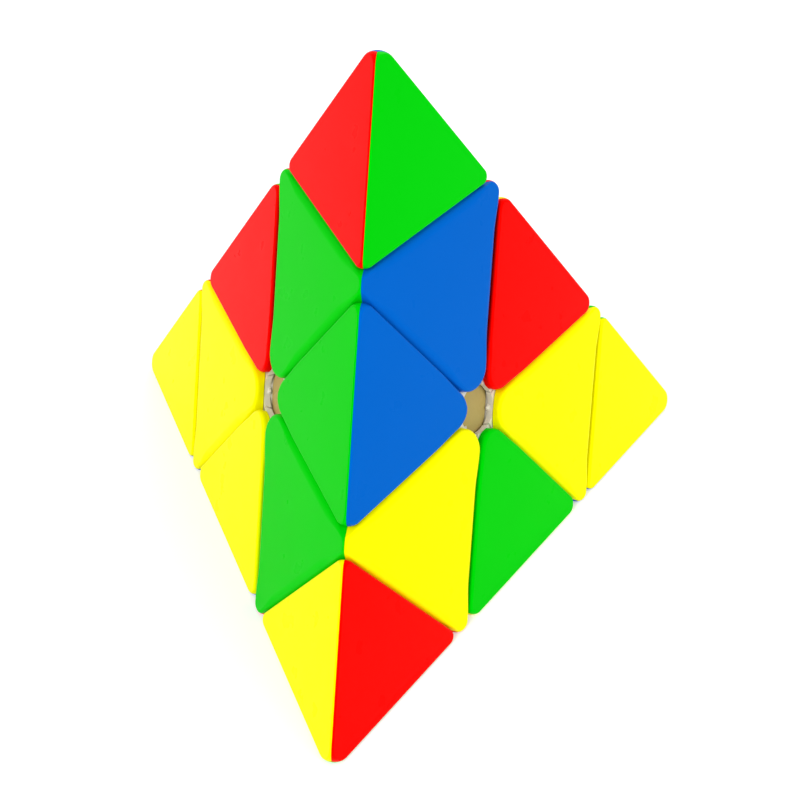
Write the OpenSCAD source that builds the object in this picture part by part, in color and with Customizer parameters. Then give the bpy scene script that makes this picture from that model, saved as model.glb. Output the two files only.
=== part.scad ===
// Pyramid twisty puzzle: four screwed-on corner pieces, six edge pieces that they trap, and
// four twisting tips, round a ball core. Each outer piece is a white carrier under coloured caps.
// The origin is the middle of the core, where the four turning axes cross. +Z runs up the apex's axis.

/* [Pyramid] */
// Length of an edge of the pyramid, between its sharp corners
edge_len = 98; // [80:1:130]
// Distance that a tip's cut lies outside the third point of an edge
tip_set_back = 1.7; // [0.5:0.1:3]
// Distance that an edge piece stops short of the third point of an edge
corner_recess = 3; // [1.5:0.1:4]
// Distance from a sharp corner of the pyramid to its rounded end
corner_trim = 3.2; // [1:0.1:5]
// Depth of the flat that blunts each edge of the pyramid
edge_flat = 0.6; // [0.2:0.1:1.2]
// Radius of the opening in the middle of each face
face_hole_r = 3.8; // [2.5:0.1:5]

/* [Caps] */
// Thickness of a cap's plate and of its walls
cap_t = 1.8; // [1.2:0.1:2.4]
// Depth of a cap's walls below its face
cap_depth = 3.4; // [2.6:0.1:4]
// Thickness of the carrier's flange under the caps, at the openings
flange_t = 1; // [0.6:0.05:1.2]

/* [Grip] */
// Depth from the middle of a face to the layer of the necks
cover_t = 2; // [1.6:0.1:3]
// Thickness of the layer of the necks
neck_t = 2.3; // [1.8:0.1:3]
// Thickness of the layer of the edge pieces' feet
foot_t = 2.4; // [1.8:0.1:3]
// Half angle of the cone that a turning layer's necks stay in
neck_angle = 59; // [58:0.5:61]
// Half angle of the cone that a turning layer's feet stay in
foot_angle = 66; // [64:0.5:68]
// Half angle of the space round each guide post that the feet stop short of
post_clear_angle = 18; // [14:0.5:22]

/* [Pivots] */
// Thickness of the hub's floor, between the ball and the spring's seat
hub_floor_t = 3.7; // [3:0.1:4.5]
// Radius of the well that holds the spring and the screw's head
well_r = 4.2; // [4:0.1:4.6]
// Radius of the pivot screw's shank
screw_r = 1.5; // [1.2:0.05:1.7]
// Distance from the origin to the screw's end
screw_end = 4; // [3:0.1:5]
// Radius of the screw's head
head_r = 3.2; // [2.8:0.1:3.6]
// Height of the screw's head
head_h = 2.4; // [1.8:0.1:2.8]
// Width of the cross slot in the screw's head
cross_w = 0.9; // [0.6:0.1:1.2]
// Depth of the cross slot in the screw's head
cross_depth = 1.4; // [1:0.1:1.6]
// Radius of the washer
washer_r = 3.7; // [3.4:0.1:3.9]
// Thickness of the washer
washer_t = 0.6; // [0.4:0.1:0.8]
// Length of the spring as fitted
spring_len = 5.5; // [4.5:0.1:6]
// Radius of the spring to the middle of its wire
spring_r = 2.6; // [2.4:0.1:3]
// Radius of the spring's wire
wire_r = 0.3; // [0.2:0.05:0.4]
// Number of coils in the spring
coils = 4; // [3:1:5]

/* [Tip plugs] */
// Radius of the plug's stem
stem_r = 4.1; // [3.6:0.1:4.4]
// Radius of the plug's flange, which snaps in behind the lip
flange_r = 5; // [4.8:0.1:5.2]
// Height of the plug's flange
flange_h = 2.4; // [1.6:0.1:3]
// Thickness of the lip that keeps the plug in
lip_t = 1.4; // [1:0.1:2]
// Radius of the hollow in the plug
plug_bore_r = 2.6; // [2:0.1:3]
// Width of the slots that let the plug's fingers bend
slot_w = 1; // [0.8:0.1:1.4]

/* [Clearances] */
// Gap between pieces that turn past each other
turn_gap = 0.3; // [0.2:0.02:0.4]
// Gap between a cap and its carrier
cap_fit = 0.1; // [0.05:0.01:0.2]
// Gap between two caps along an edge of the pyramid
mitre_gap = 0.08; // [0.04:0.01:0.2]
// Gap round a screw's shank in the hub's bore
bore_fit = 0.2; // [0.1:0.05:0.3]
// Gap round a screw's shank in the core
thread_fit = 0.04; // [0.02:0.01:0.1]
// Gap round a tip's plug in its socket
socket_fit = 0.3; // [0.2:0.05:0.4]

/* [Hidden] */
$fn = 64;
APEX = 0;
FRONT = 1;
RIGHT = 2;
LEFT = 3;
CORNERS = [APEX, FRONT, RIGHT, LEFT];
CORNER_NAMES = ["apex", "front", "right", "left"];
// A face carries the number of the corner that it lies opposite
FACE_NAMES = ["base", "back", "left", "right"];
BACK_FACE = FRONT;
LEFT_FACE = RIGHT;
HOME_EDGE = [APEX, FRONT];
EDGES = [[APEX, FRONT], [APEX, RIGHT], [APEX, LEFT], [FRONT, RIGHT], [FRONT, LEFT], [RIGHT, LEFT]];

corner_dist = edge_len * sqrt(6) / 4;
face_dist = corner_dist / 3;
edge_dist = corner_dist / sqrt(3);
// What a length along an edge comes to along and away from the axis through its end
ALONG_AXIS = sqrt(2 / 3);
OFF_AXIS = sqrt(1 / 3);
tip_plane = corner_dist - (edge_len / 3 - tip_set_back) * ALONG_AXIS;
layer_plane = face_dist / 3;
layer_r = (2 * edge_len / 3 - corner_recess) * OFF_AXIS;
half_gap = turn_gap / 2;
neck_top = face_dist - cover_t;
neck_base = neck_top - neck_t;
ball_r = neck_base - foot_t;
seat_z = ball_r + hub_floor_t;
head_z = seat_z + spring_len + washer_t;
lip_z = tip_plane - half_gap - lip_t;
flange_z = lip_z - socket_fit - flange_h;
well_top = flange_z - socket_fit;

// Directions from the origin to the four corners
function low_corner(azimuth) = [cos(azimuth) * sqrt(8) / 3, sin(azimuth) * sqrt(8) / 3, -1 / 3];
AIM = [[0, 0, 1], low_corner(-90), low_corner(30), low_corner(150)];
function unit(v) = v / norm(v);
function others(used) = [for (c = CORNERS) if (len(search(c, used)) == 0) c];

// Rotation that carries the apex, front, right and left corners to those of an even order
function flip_count(order) = len([for (i = [0:2]) for (j = [i + 1:3]) if (order[i] > order[j]) 1]);
function is_even(order) = flip_count(order) % 2 == 0;
function turn_matrix(order) = [for (row = [0:2]) [for (col = [0:2])
    3 / 4 * (
        AIM[order[0]][row] * AIM[0][col] + AIM[order[1]][row] * AIM[1][col]
        + AIM[order[2]][row] * AIM[2][col] + AIM[order[3]][row] * AIM[3][col]
    )]];

// Colours of the caps, by corner or edge and then by the face that the cap lies on
RED = "#e60f14";
GREEN = "#12b32a";
BLUE = "#0d66c2";
YELLOW = "#fff200";
WHITE = "#ece7d8";
STEEL = "#b9bdc2";
TIP_COLOURS = [[0, BLUE, RED, GREEN], [GREEN, 0, YELLOW, RED], [BLUE, GREEN, 0, YELLOW], [BLUE, RED, YELLOW, 0]];
AXIAL_COLOURS = [[0, RED, GREEN, BLUE], [RED, 0, GREEN, YELLOW], [BLUE, GREEN, 0, YELLOW], [BLUE, RED, YELLOW, 0]];
EDGE_COLOURS = [
    [0, 0, GREEN, BLUE], [0, YELLOW, 0, RED], [0, GREEN, RED, 0],
    [YELLOW, 0, 0, GREEN], [BLUE, 0, YELLOW, 0], [RED, BLUE, 0, 0]
];

function tip_name(c, part) = str("tip_", CORNER_NAMES[c], "_", part);
function axial_name(c, part) = str("axial_", CORNER_NAMES[c], "_", part);
function edge_name(e, part) = str("edge_", CORNER_NAMES[e[0]], "_", CORNER_NAMES[e[1]], "_", part);
function cap_on(f) = str("cap_", FACE_NAMES[f]);

// ---- directions and half spaces ----

// Turns +Z to a direction
module facing(v) {
    rotate([0, acos(v[2]), atan2(v[1], v[0])]) children();
}

// All that lies further than a distance from the origin along a direction
module beyond(v, distance) {
    facing(v) translate([-edge_len, -edge_len, distance]) cube(2 * edge_len);
}

// Takes a piece made at the apex, with its first cap on the back, to a corner and a face
module moved_to(corner_and_face) {
    rest = others(corner_and_face);
    order = concat(corner_and_face, rest);
    multmatrix(turn_matrix(is_even(order) ? order : concat(corner_and_face, [rest[1], rest[0]]))) children();
}

// Takes a piece made at the edge from apex to front, with its first cap on the left, to an edge and a face
module edge_moved_to(e, f) {
    last = others([e[0], e[1], f])[0];
    order = [e[0], e[1], f, last];
    multmatrix(turn_matrix(is_even(order) ? order : [e[1], e[0], f, last])) children();
}

module ball(r) {
    sphere(r = r);
}

// Cone from the origin along a direction, its side moved inwards by a distance
module cone(v, half_angle, inwards) {
    facing(v) translate([0, 0, inwards / sin(half_angle)]) cylinder(h = face_dist, r1 = 0, r2 = face_dist * tan(half_angle));
}

// ---- the pyramid ----

// The pyramid with its faces moved inwards by a depth
module pyramid(depth) {
    intersection_for(f = CORNERS) {
        beyond(AIM[f], depth - face_dist);
    }
}

// Box whose six faces blunt the six edges of the pyramid
module edge_box() {
    rotate([0, 0, -30]) rotate([0, -atan(sqrt(2)), 0]) rotate([0, 0, -45]) cube(2 * (edge_dist - edge_flat), center = true);
}

// The stretch between two depths below a face
module face_slab(f, top, bottom) {
    facing(-AIM[f]) translate([-edge_len, -edge_len, face_dist - bottom]) cube([2 * edge_len, 2 * edge_len, bottom - top]);
}

// The side of a mitre, between two faces, that the first face's cap lies on
module mitre_side(f, g) {
    beyond(unit(AIM[g] - AIM[f]), mitre_gap / 2);
}

// Outer part of a turning layer, its sides moved inwards by a distance
module layer(c, inwards) {
    facing(AIM[c]) translate([0, 0, layer_plane + inwards]) cylinder(h = corner_dist, r = layer_r - inwards);
}

// Round the middle of a face, out to a radius
module face_hole(f, r) {
    facing(-AIM[f]) cylinder(h = 2 * face_dist, r = r);
}

// Space round the core's guide post behind a face's opening
module post_space(f) {
    intersection() {
        cone(-AIM[f], post_clear_angle, 0);
        ball(neck_base);
    }
}

// All that no turning layer reaches, out to a radius, where every layer fills a cone
module still_space(half_angle, out_to) {
    difference() {
        ball(out_to);
        for (c = CORNERS) cone(AIM[c], half_angle, -half_gap);
    }
}

// ---- blocks: the space of one outer piece, its cut sides moved inwards by a distance ----
// Pieces are made at the apex, or at the edge from the apex to the front corner

module tip_block(inwards) {
    beyond(AIM[APEX], tip_plane + inwards);
}

module axial_block(inwards) {
    difference() {
        beyond(AIM[APEX], layer_plane + inwards);
        for (d = others([APEX])) layer(d, -inwards);
        beyond(AIM[APEX], tip_plane - inwards);
        for (f = others([APEX])) face_hole(f, face_hole_r - half_gap + inwards);
    }
}

module edge_block(inwards) {
    difference() {
        intersection() {
            layer(APEX, inwards);
            layer(FRONT, inwards);
        }
        for (f = others(HOME_EDGE)) face_hole(f, face_hole_r - half_gap + inwards);
    }
}

// ---- caps: a plate under the face, with walls down the cut sides of the block ----

// First child: the block. Second child: the same block a wall's thickness smaller.
module cap(f, neighbours) {
    difference() {
        intersection() {
            face_slab(f, 0, cap_depth);
            edge_box();
            children(0);
            intersection_for(g = neighbours) {
                mitre_side(f, g);
            }
        }
        intersection() {
            face_slab(f, cap_t, 2 * cap_depth);
            children(1);
        }
        ball(neck_top + half_gap + flange_t);
    }
}

module home_tip_cap() {
    intersection() {
        cap(BACK_FACE, [RIGHT, LEFT]) {
            tip_block(half_gap);
            tip_block(half_gap + cap_t);
        }
        ball(corner_dist - corner_trim);
    }
}

module home_axial_cap() {
    cap(BACK_FACE, [RIGHT, LEFT]) {
        axial_block(half_gap);
        axial_block(half_gap + cap_t);
    }
}

module home_edge_cap() {
    cap(LEFT_FACE, [LEFT]) {
        edge_block(half_gap);
        edge_block(half_gap + cap_t);
    }
}

module tip_cap(c, f) {
    color(TIP_COLOURS[c][f]) moved_to([c, f]) home_tip_cap();
}

module axial_cap(c, f) {
    color(AXIAL_COLOURS[c][f]) moved_to([c, f]) home_axial_cap();
}

module edge_cap(i, f) {
    color(EDGE_COLOURS[i][f]) edge_moved_to(EDGES[i], f) home_edge_cap();
}

// ---- carriers ----

// What carries the caps. First child: the block. Second child: the block inside the caps' walls.
module cap_bed() {
    intersection() {
        pyramid(cap_t + cap_fit);
        children(1);
    }
    intersection() {
        pyramid(cap_depth + cap_fit);
        children(0);
    }
    intersection() {
        ball(neck_top + half_gap + flange_t - cap_fit);
        children(0);
    }
}

// Screw bore, spring well and tip socket along the apex's axis
module pivot_bores() {
    cylinder(h = corner_dist, r = screw_r + bore_fit);
    translate([0, 0, seat_z]) cylinder(h = corner_dist, r = well_r);
    translate([0, 0, well_top]) cylinder(h = lip_z - well_top, r = flange_r + socket_fit);
    translate([0, 0, lip_z]) cylinder(h = corner_dist, r = stem_r + socket_fit);
}

// A corner's inner piece: its bed for the caps, the collar that traps the edge pieces, and its hub
module axial_carrier(c) {
    color(WHITE) moved_to([c, others([c])[0]]) difference() {
        union() {
            difference() {
                cap_bed() {
                    axial_block(half_gap);
                    axial_block(half_gap + cap_t + cap_fit);
                }
                ball(neck_top + half_gap);
            }
            axial_hub();
            axial_collar();
        }
        pivot_bores();
        for (f = others([APEX])) post_space(f);
    }
}

// Column from the ball up into the bed, between the feet
module axial_hub() {
    difference() {
        intersection() {
            axial_block(half_gap);
            cone(AIM[APEX], neck_angle, half_gap);
            ball(neck_top + half_gap + flange_t / 2);
        }
        for (d = others([APEX])) cone(AIM[d], foot_angle, -half_gap);
        ball(ball_r + half_gap);
    }
}

// Ledge over the feet of the three edge pieces round it
module axial_collar() {
    difference() {
        intersection() {
            cone(AIM[APEX], neck_angle, half_gap);
            ball(neck_top - half_gap);
        }
        for (d = others([APEX])) cone(AIM[d], neck_angle, -half_gap);
        ball(neck_base + half_gap);
    }
}

// An edge's inner piece: its bed for the caps, its neck between two collars, and its foot under them
module edge_carrier(e) {
    color(WHITE) edge_moved_to(e, others(e)[0]) difference() {
        union() {
            difference() {
                cap_bed() {
                    edge_block(half_gap);
                    edge_block(half_gap + cap_t + cap_fit);
                }
                ball(neck_top + half_gap);
            }
            edge_stalk(neck_angle, neck_top + half_gap + flange_t / 2);
            edge_stalk(foot_angle, neck_base - half_gap);
        }
        for (f = others(HOME_EDGE)) post_space(f);
    }
}

// What two layers' cones share, from the ball out to a radius
module edge_stalk(half_angle, out_to) {
    difference() {
        intersection() {
            cone(AIM[APEX], half_angle, half_gap);
            cone(AIM[FRONT], half_angle, half_gap);
            ball(out_to);
        }
        ball(ball_r + half_gap);
    }
}

// A tip's inner piece: its bed for the caps, and the split stem and flange that snap into the socket
module tip_plug(c) {
    color(WHITE) moved_to([c, others([c])[0]]) difference() {
        union() {
            cap_bed() {
                tip_block(half_gap);
                tip_block(half_gap + cap_t + cap_fit);
            }
            translate([0, 0, flange_z]) cylinder(h = flange_h, r1 = stem_r, r2 = flange_r);
            translate([0, 0, flange_z]) cylinder(h = tip_plane + cap_t - flange_z, r = stem_r);
        }
        translate([0, 0, flange_z - 1]) cylinder(h = tip_plane - flange_z + 1, r = plug_bore_r);
        for (turn = [0, 90]) rotate([0, 0, turn]) translate([-flange_r - 1, -slot_w / 2, flange_z - 1])
            cube([2 * flange_r + 2, slot_w, tip_plane - half_gap - flange_z + 1]);
    }
}

// ---- core and pivots ----

// Ball with a guide post towards each face's opening, whose smooth head fills the gap between the collars
module core() {
    color(WHITE) difference() {
        union() {
            ball(ball_r - half_gap);
            still_space(foot_angle, neck_base + neck_t / 2);
            difference() {
                still_space(neck_angle, neck_top - half_gap);
                ball(neck_base + half_gap);
            }
        }
        for (c = CORNERS) facing(AIM[c]) translate([0, 0, screw_end - screw_r]) cylinder(h = ball_r, r = screw_r + thread_fit);
    }
}

module pivot_screws() {
    color(STEEL) for (c = CORNERS) facing(AIM[c]) pivot_screw();
}

module pivot_screw() {
    translate([0, 0, screw_end]) cylinder(h = head_z - screw_end + head_h / 2, r = screw_r);
    translate([0, 0, head_z]) difference() {
        cylinder(h = head_h, r1 = head_r, r2 = head_r - head_h / 3);
        for (turn = [0, 90]) rotate([0, 0, turn]) translate([-head_r / 2, -cross_w / 2, head_h - cross_depth])
            cube([head_r, cross_w, head_h]);
    }
}

module washers() {
    color(STEEL) for (c = CORNERS) facing(AIM[c]) translate([0, 0, seat_z + spring_len]) difference() {
        cylinder(h = washer_t, r = washer_r);
        translate([0, 0, -washer_t]) cylinder(h = 3 * washer_t, r = screw_r + bore_fit);
    }
}

module springs() {
    color(STEEL) for (c = CORNERS) facing(AIM[c]) translate([0, 0, seat_z]) spring();
}

// Round wire wound into an open coil, as rings of points along a helix
module spring() {
    sides = 6;
    rings = 14 * coils;
    rise = spring_len - 2 * wire_r - 2 * cap_fit;
    points = [for (k = [0:rings]) for (s = [0:sides - 1])
        let (turn = 360 * coils * k / rings, side = 360 * s / sides, r = spring_r + wire_r * cos(side))
        [r * cos(turn), r * sin(turn), cap_fit + wire_r + rise * k / rings + wire_r * sin(side)]];
    walls = [for (k = [0:rings - 1]) for (s = [0:sides - 1])
        let (a = k * sides + s, b = k * sides + (s + 1) % sides)
        [a, b, b + sides, a + sides]];
    start = [for (s = [sides - 1:-1:0]) s];
    end = [for (s = [0:sides - 1]) rings * sides + s];
    polyhedron(points = points, faces = concat(walls, [start, end]));
}

core();
pivot_screws();
springs();
washers();
for (c = CORNERS) {
    axial_carrier(c);
    tip_plug(c);
    for (f = others([c])) {
        axial_cap(c, f);
        tip_cap(c, f);
    }
}
for (i = [0:len(EDGES) - 1]) {
    edge_carrier(EDGES[i]);
    for (f = others(EDGES[i])) {
        edge_cap(i, f);
    }
}
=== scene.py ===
import math

import bmesh
import bpy
from mathutils import Matrix, Vector


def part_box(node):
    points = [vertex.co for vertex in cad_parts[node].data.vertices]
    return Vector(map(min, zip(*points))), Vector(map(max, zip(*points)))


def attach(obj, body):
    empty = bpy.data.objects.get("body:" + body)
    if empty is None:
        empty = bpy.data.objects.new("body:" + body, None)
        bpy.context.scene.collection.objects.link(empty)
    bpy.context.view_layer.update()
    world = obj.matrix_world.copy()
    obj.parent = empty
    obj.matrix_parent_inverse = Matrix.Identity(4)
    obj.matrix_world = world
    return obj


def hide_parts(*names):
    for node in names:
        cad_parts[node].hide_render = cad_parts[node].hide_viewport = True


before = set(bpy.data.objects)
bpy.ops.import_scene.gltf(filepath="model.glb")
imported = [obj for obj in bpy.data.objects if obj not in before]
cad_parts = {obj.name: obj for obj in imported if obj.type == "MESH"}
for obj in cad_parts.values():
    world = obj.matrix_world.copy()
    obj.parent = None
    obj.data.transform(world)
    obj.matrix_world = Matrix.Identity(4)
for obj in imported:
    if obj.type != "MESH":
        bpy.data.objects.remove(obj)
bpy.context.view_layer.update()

bl_info = {
    "name": "Pyramid Twisty Puzzle",
    "version": (1, 0, 0),
    "blender": (4, 5, 0),
    "location": "3D View > Sidebar > Puzzle",
    "description": "Rounded colour caps, carriers, pivots and studio for a pyramid twisty puzzle",
    "category": "Object",
}

MM = 0.001
# Corners and faces are numbered alike: a face lies opposite the corner of its number
CORNERS = ("apex", "front", "right", "left")
FACES = ("base", "back", "left", "right")
EDGES = ((0, 1), (0, 2), (0, 3), (1, 2), (1, 3), (2, 3))
# From the core's middle to each face, and from a face's middle to its edges
FACE_DIST = -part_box("axial_front_cap_base")[0].z
EDGE_LEN = FACE_DIST * 12 / math.sqrt(6)
FACE_IN_RADIUS = EDGE_LEN * math.sqrt(3) / 6

# Colour of each cap, by corner or edge and then by the face that it lies on
TIP_COLOURS = (
    {1: "blue", 2: "red", 3: "green"},
    {0: "green", 2: "yellow", 3: "red"},
    {0: "blue", 1: "green", 3: "yellow"},
    {0: "blue", 1: "red", 2: "yellow"},
)
AXIAL_COLOURS = (
    {1: "red", 2: "green", 3: "blue"},
    {0: "red", 2: "green", 3: "yellow"},
    {0: "blue", 1: "green", 3: "yellow"},
    {0: "blue", 1: "red", 2: "yellow"},
)
EDGE_COLOURS = (
    {2: "green", 3: "blue"},
    {1: "yellow", 3: "red"},
    {1: "green", 2: "red"},
    {0: "yellow", 3: "green"},
    {0: "blue", 2: "yellow"},
    {0: "red", 1: "blue"},
)


class PuzzleSizes(bpy.types.PropertyGroup):
    """Sizes of the rounded caps and of the pivots"""

    tip_set_back: bpy.props.FloatProperty(
        name="Tip set-back",
        description="Distance that a tip's cut lies outside the third point of an edge",
        default=1.7 * MM,
        unit="LENGTH",
    )
    turn_gap: bpy.props.FloatProperty(
        name="Turning gap",
        description="Gap between pieces that turn past each other",
        default=0.3 * MM,
        unit="LENGTH",
    )
    mitre_gap: bpy.props.FloatProperty(
        name="Mitre gap",
        description="Gap between two caps along an edge of the pyramid",
        default=0.03 * MM,
        unit="LENGTH",
    )
    cap_depth: bpy.props.FloatProperty(
        name="Cap depth",
        description="Depth of a cap's walls below its face",
        default=3.4 * MM,
        unit="LENGTH",
    )
    cap_thickness: bpy.props.FloatProperty(
        name="Cap thickness",
        description="Thickness of a cap's plate and walls",
        default=1.8 * MM,
        unit="LENGTH",
    )
    ridge_radius: bpy.props.FloatProperty(
        name="Ridge radius",
        description="Rounding of the caps' borders, along the edges of the pyramid and along the cuts",
        default=0.38 * MM,
        unit="LENGTH",
    )
    groove_radius: bpy.props.FloatProperty(
        name="Groove radius",
        description="Wider rounding of the axial caps' borders along the cuts",
        default=1.7 * MM,
        unit="LENGTH",
    )
    vertex_dome: bpy.props.FloatProperty(
        name="Vertex dome",
        description="Radius of the dome that ends each corner of the pyramid",
        default=2.6 * MM,
        unit="LENGTH",
    )
    tip_dome: bpy.props.FloatProperty(
        name="Tip dome",
        description="Radius of a tip's corners where its cut meets the pyramid's edges",
        default=1.4 * MM,
        unit="LENGTH",
    )
    edge_dome: bpy.props.FloatProperty(
        name="Edge dome",
        description="Radius of an edge piece's corners on the pyramid's edges",
        default=2.0 * MM,
        unit="LENGTH",
    )
    bridge_dome: bpy.props.FloatProperty(
        name="Bridge dome",
        description="Radius of an axial piece's corners on the pyramid's edges",
        default=1.65 * MM,
        unit="LENGTH",
    )
    rim_radius: bpy.props.FloatProperty(
        name="Rim radius",
        description="Rounding of the caps' borders at the openings",
        default=0.6 * MM,
        unit="LENGTH",
    )
    opening_radius: bpy.props.FloatProperty(
        name="Opening radius",
        description="Distance from the middle of a face to the caps round it",
        default=3.68 * MM,
        unit="LENGTH",
    )
    flange_ball: bpy.props.FloatProperty(
        name="Flange ball",
        description="Radius of the ball that the carriers' flanges reach under the caps",
        default=19.154 * MM,
        unit="LENGTH",
    )
    spring_seat: bpy.props.FloatProperty(
        name="Spring seat",
        description="Distance from the core's middle to the foot of a spring",
        default=17.004 * MM,
        unit="LENGTH",
    )
    spring_length: bpy.props.FloatProperty(
        name="Spring length",
        description="Length of a spring as fitted",
        default=5.3 * MM,
        unit="LENGTH",
    )
    spring_radius: bpy.props.FloatProperty(
        name="Spring radius",
        description="Radius of a spring to the middle of its wire",
        default=2.6 * MM,
        unit="LENGTH",
    )
    wire_radius: bpy.props.FloatProperty(
        name="Wire radius",
        description="Radius of a spring's wire",
        default=0.3 * MM,
        unit="LENGTH",
    )
    coils: bpy.props.IntProperty(
        name="Coils",
        description="Number of coils in a spring",
        default=4,
        min=2,
        max=8,
    )
    washer_radius: bpy.props.FloatProperty(
        name="Washer radius",
        description="Outer radius of the washers under the screws' heads",
        default=3.7 * MM,
        unit="LENGTH",
    )
    washer_bore: bpy.props.FloatProperty(
        name="Washer bore",
        description="Radius of the hole in a washer",
        default=1.7 * MM,
        unit="LENGTH",
    )
    washer_thickness: bpy.props.FloatProperty(
        name="Washer thickness",
        description="Thickness of a washer",
        default=0.6 * MM,
        unit="LENGTH",
    )
    head_seat: bpy.props.FloatProperty(
        name="Head seat",
        description="Distance from the core's middle to the underside of a screw's head",
        default=23.104 * MM,
        unit="LENGTH",
    )
    head_radius: bpy.props.FloatProperty(
        name="Head radius",
        description="Radius of a screw's head where it presses on the washer",
        default=3.2 * MM,
        unit="LENGTH",
    )
    head_height: bpy.props.FloatProperty(
        name="Head height",
        description="Height of a screw's head",
        default=2.4 * MM,
        unit="LENGTH",
    )
    screw_radius: bpy.props.FloatProperty(
        name="Screw radius",
        description="Radius over a screw's thread",
        default=1.5 * MM,
        unit="LENGTH",
    )
    screw_length: bpy.props.FloatProperty(
        name="Screw length",
        description="Length of a screw under its head",
        default=19.1 * MM,
        unit="LENGTH",
    )
    thread_pitch: bpy.props.FloatProperty(
        name="Thread pitch",
        description="Distance between a thread's turns",
        default=0.5 * MM,
        unit="LENGTH",
    )


class PuzzleColours(bpy.types.PropertyGroup):
    """Colours of the plastics and metals, as sRGB hex values"""

    red: bpy.props.StringProperty(name="Red", description="Colour of the red caps", default="#f80400")
    green: bpy.props.StringProperty(
        name="Green",
        description="Colour of the green caps",
        default="#00cf08",
    )
    blue: bpy.props.StringProperty(name="Blue", description="Colour of the blue caps", default="#0063c8")
    yellow: bpy.props.StringProperty(
        name="Yellow",
        description="Colour of the yellow caps",
        default="#fffa00",
    )
    ivory: bpy.props.StringProperty(
        name="Ivory",
        description="Colour of the carriers and the tips' plugs",
        default="#ece7d8",
    )
    # Painted shade and painted reflection: the core's colour is darker and more olive than its pale
    # plastic, as it looks deep in the openings among the coloured caps
    core: bpy.props.StringProperty(name="Core", description="Colour of the core", default="#b8a566")
    zinc: bpy.props.StringProperty(
        name="Zinc",
        description="Colour of the screws and washers",
        default="#b9bdc2",
    )
    wire: bpy.props.StringProperty(name="Wire", description="Colour of the springs", default="#9fa3a8")
    floor: bpy.props.StringProperty(name="Floor", description="Colour of the floor", default="#f2f2f2")


# ---- directions ----


def low_corner(azimuth):
    """Direction from the core to one of the three lower corners."""
    a = math.radians(azimuth)
    return Vector((math.cos(a) * math.sqrt(8) / 3, math.sin(a) * math.sqrt(8) / 3, -1 / 3))


AIM = (Vector((0, 0, 1)), low_corner(-90), low_corner(30), low_corner(150))
OUT = Vector((0, 0, 1))


def face_place(face, towards):
    """Takes a cap made in the XY plane, facing +Z, to the middle of a face, its +Y towards a direction."""
    out = -AIM[face]
    up = (towards - out * towards.dot(out)).normalized()
    across = up.cross(out)
    turn = Matrix((across, up, out)).transposed().to_4x4()
    return Matrix.Translation(out * FACE_DIST) @ turn


# ---- outline of a cap ----
# A cap is made as its border is: a ball rolls round inside the sharp outline, touching the face and
# the wall, and leaves the rounding. The outline runs counter-clockwise, seen from outside.


class Side:
    """One straight side: the way it faces, its distance from the face's middle and its wall's lean."""

    def __init__(self, angle, reach, lean, radius, mitred=False):
        self.way = Vector((math.cos(math.radians(angle)), math.sin(math.radians(angle)), 0))
        self.along = OUT.cross(self.way)
        self.angle = angle
        self.reach = reach
        self.lean = lean
        self.radius = radius
        self.mitred = mitred
        self.normal = self.way * math.sqrt(1 - lean * lean) + OUT * lean

    def inset(self, r):
        """Distance from the side's line to the middle of a ball that touches face and wall."""
        if self.mitred:
            return r * math.sqrt(2)
        return r * (1 - self.lean) / math.sqrt(1 - self.lean * self.lean)

    def reach_at(self, depth):
        """Distance of the wall from the face's middle at a depth."""
        if self.mitred:
            return self.reach - depth * math.sqrt(2)
        return self.reach + depth * self.lean / math.sqrt(1 - self.lean * self.lean)


def cut(angle, reach, lean, radius, gap):
    """A side along a cut, half the turning gap inside the cut's own leaning plane."""
    return Side(angle, reach - gap / 2 / math.sqrt(8) * 3, lean, radius)


def mitre(angle, radius, gap):
    """A side along an edge of the pyramid, where the cap meets its neighbour's on the next face."""
    return Side(angle, FACE_IN_RADIUS - gap / 2 * math.sqrt(3), math.sqrt(1 / 3), radius, True)


def meet(a, reach_a, b, reach_b):
    """Where two lines meet, each at a distance from the face's middle."""
    det = a.way.x * b.way.y - a.way.y * b.way.x
    x = (reach_a * b.way.y - reach_b * a.way.y) / det
    y = (a.way.x * reach_b - b.way.x * reach_a) / det
    return Vector((x, y, 0))


# Each point of the outline is a column: the middle and radius of its ball, and the points that the
# surface passes from the face down to the top of the wall, with its foot at the bottom of the wall.
# A column has as many points in each part of the rounding: the face's border, the dome, the wall's border.
FIRST, SECOND, THIRD = 4, 4, 4
CORNER_STEPS = 12
OPENING_STEPS = 16
# How far the rounding takes to ease from a corner's radius to a side's own, and where it is cut
EASE = 6 * MM
EASE_STOPS = (0.8 * MM, 1.6 * MM, 2.4 * MM, 3.2 * MM, 4.2 * MM, 5.2 * MM, EASE)


def column(ball, r, half, normal, foot):
    """Points from the face to the wall where one ball of radius r does all the rounding."""
    first = [ball + OUT.slerp(half, k / FIRST) * r for k in range(FIRST + 1)]
    second = [first[-1]] * SECOND
    third = [ball + half.slerp(normal, k / THIRD) * r for k in range(1, THIRD + 1)]
    return [*first, *second, *third, foot]


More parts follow.
